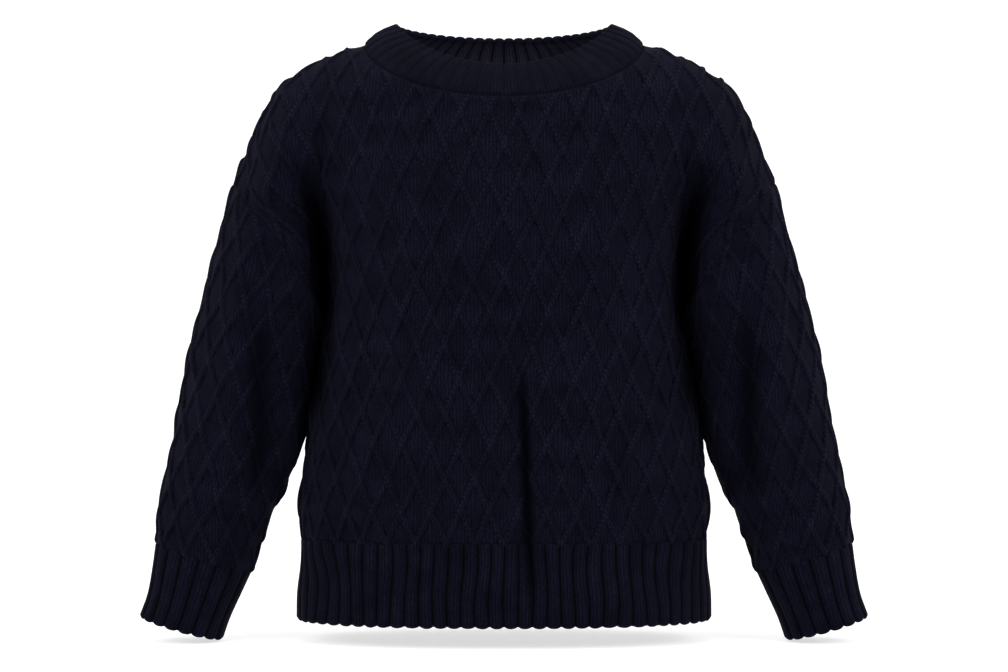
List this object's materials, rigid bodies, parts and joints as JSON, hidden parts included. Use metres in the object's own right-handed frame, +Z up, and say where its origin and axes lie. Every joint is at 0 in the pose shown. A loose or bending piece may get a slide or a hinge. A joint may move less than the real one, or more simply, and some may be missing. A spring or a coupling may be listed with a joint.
{
  "type": "cable knit crew neck sweater",
  "caption": "Long-sleeved crew neck sweater in dark navy wool, filled out as if worn, with a diamond lattice of raised cables and ribbed neckband, hem and cuffs.",
  "frame": {"origin": "midway between the two high shoulder points, where the neckband meets the shoulder lines and the garment hangs on its wearer", "axes": "+X to the wearer's left, across the chest; the front faces -Y; +Z up"},
  "size_m": [0.7446, 0.237, 0.6322],
  "materials": {
    "lattice_knit": "dark navy wool-like knit, stocking stitch ground with raised rope cables, matt with a soft sheen",
    "rib_knit": "dark navy wool-like rib knit, matt with a soft sheen"
  },
  "bodies": {
    "root": {"front_panel": "lattice_knit", "back_panel": "lattice_knit", "front_hem_rib": "rib_knit", "back_hem_rib": "rib_knit", "left_sleeve": "lattice_knit", "right_sleeve": "lattice_knit", "left_cuff": "rib_knit", "right_cuff": "rib_knit", "neckband": "rib_knit"}
  },
  "joints": []
}
